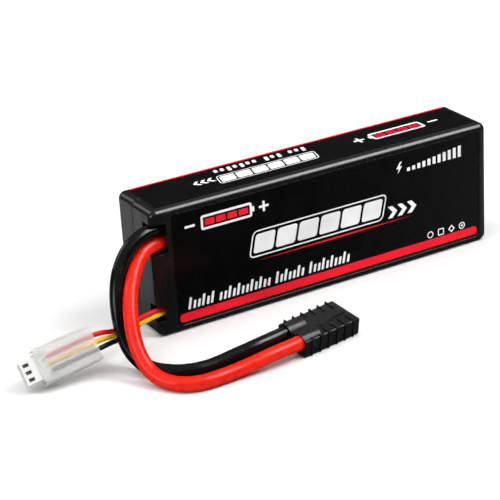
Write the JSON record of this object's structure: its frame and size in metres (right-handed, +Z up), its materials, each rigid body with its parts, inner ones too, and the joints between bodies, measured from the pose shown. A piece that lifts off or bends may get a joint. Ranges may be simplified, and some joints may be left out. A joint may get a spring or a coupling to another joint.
{
  "type": "lipo battery pack",
  "caption": "Hard-case rechargeable battery pack standing on its long side, with thick power leads to a flat connector and thin balance leads to a small plug in a sliding clip.",
  "frame": {"origin": "centre of the narrow long side that the pack stands on, under the middle of the case", "axes": "+X along the case, away from the end that the leads leave; +Y from the front labelled face to the back face; +Z up"},
  "size_m": [0.1926, 0.0686, 0.0465],
  "materials": {
    "case_plastic": "satin",
    "label_film": "gloss",
    "cell_foil": "satin foil laminate",
    "fibre_sheet": "matt",
    "amber_tape": "gloss film",
    "foam": "closed-cell foam",
    "nickel": "plated strip",
    "copper": "bare metal",
    "board_laminate": "solder mask over glass laminate",
    "red_silicone": "satin silicone",
    "black_silicone": "satin silicone",
    "solder": "bright solder",
    "connector_nylon": "moulded",
    "gold_plate": "plated",
    "red_insulation": "satin",
    "yellow_insulation": "satin",
    "black_insulation": "satin",
    "white_nylon": "moulded",
    "frosted_plastic": "frosted translucent"
  },
  "bodies": {
    "pack": {"case_front_shell": "case_plastic", "case_back_shell": "case_plastic", "front_label": "label_film", "wrap_label": "label_film", "cell_front": "cell_foil", "cell_rear": "cell_foil", "cell_spacer_sheet": "fibre_sheet", "cell_tape_band": "amber_tape", "face_foam_pad": "foam", "end_foam_block": "foam", "cell_front_positive_tab": "nickel", "cell_front_negative_tab": "nickel", "cell_rear_positive_tab": "nickel", "cell_rear_negative_tab": "nickel", "series_link": "copper", "terminal_board": "board_laminate", "board_insulator": "fibre_sheet", "power_lead_red": "red_silicone", "power_lead_black": "black_silicone", "power_lead_red_core": "copper", "power_lead_black_core": "copper", "power_solder_red": "solder", "power_solder_black": "solder", "balance_solder_red": "solder", "balance_solder_yellow": "solder", "balance_solder_black": "solder", "main_connector_housing": "connector_nylon", "main_terminal_positive": "gold_plate", "main_terminal_negative": "gold_plate", "balance_lead_red": "red_insulation", "balance_lead_yellow": "yellow_insulation", "balance_lead_black": "black_insulation", "balance_plug_housing": "white_nylon", "balance_contact_red": "nickel", "balance_contact_yellow": "nickel", "balance_contact_black": "nickel"},
    "clip": {"balance_clip": "frosted_plastic"}
  },
  "joints": [
    {"name": "balance_clip_slide", "type": "slide", "parent": "pack", "child": "clip", "axis": [0.9843, -0.0313, 0.1736], "range_m": [0, 0.0035]}
  ]
}
